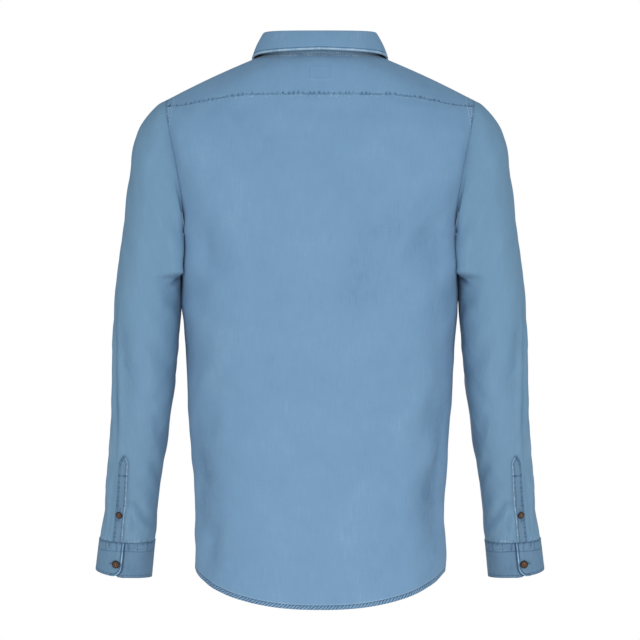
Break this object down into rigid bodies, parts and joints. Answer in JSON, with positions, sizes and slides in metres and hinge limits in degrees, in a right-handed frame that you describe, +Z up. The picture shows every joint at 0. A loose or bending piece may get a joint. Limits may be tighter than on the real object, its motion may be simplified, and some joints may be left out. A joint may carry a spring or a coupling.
{
  "type": "denim shirt",
  "caption": "Long-sleeved denim shirt, buttoned up and filled out as if worn but empty, with a turned-down collar, back yoke, buttoned cuffs and a curved hem.",
  "frame": {"origin": "middle of the neck opening, at the height of the back neck seam", "axes": "+Z up; the front faces -Y, and +X is the wearer's left"},
  "size_m": [0.6296, 0.2593, 0.7844],
  "materials": {
    "denim": "matte washed denim",
    "button": "satin horn-look plastic"
  },
  "bodies": {
    "root": {"back": "denim", "yoke": "denim", "front_left": "denim", "front_right": "denim", "front_placket": "denim", "collar_stand": "denim", "collar_leaf": "denim", "sleeve_left": "denim", "sleeve_right": "denim", "sleeve_placket_left": "denim", "sleeve_placket_right": "denim", "cuff_left": "denim", "cuff_right": "denim", "front_button_1": "button", "front_button_2": "button", "front_button_3": "button", "front_button_4": "button", "front_button_5": "button", "front_button_6": "button", "stand_button": "button", "cuff_button_left": "button", "cuff_button_right": "button", "sleeve_button_left": "button", "sleeve_button_right": "button"}
  },
  "joints": []
}
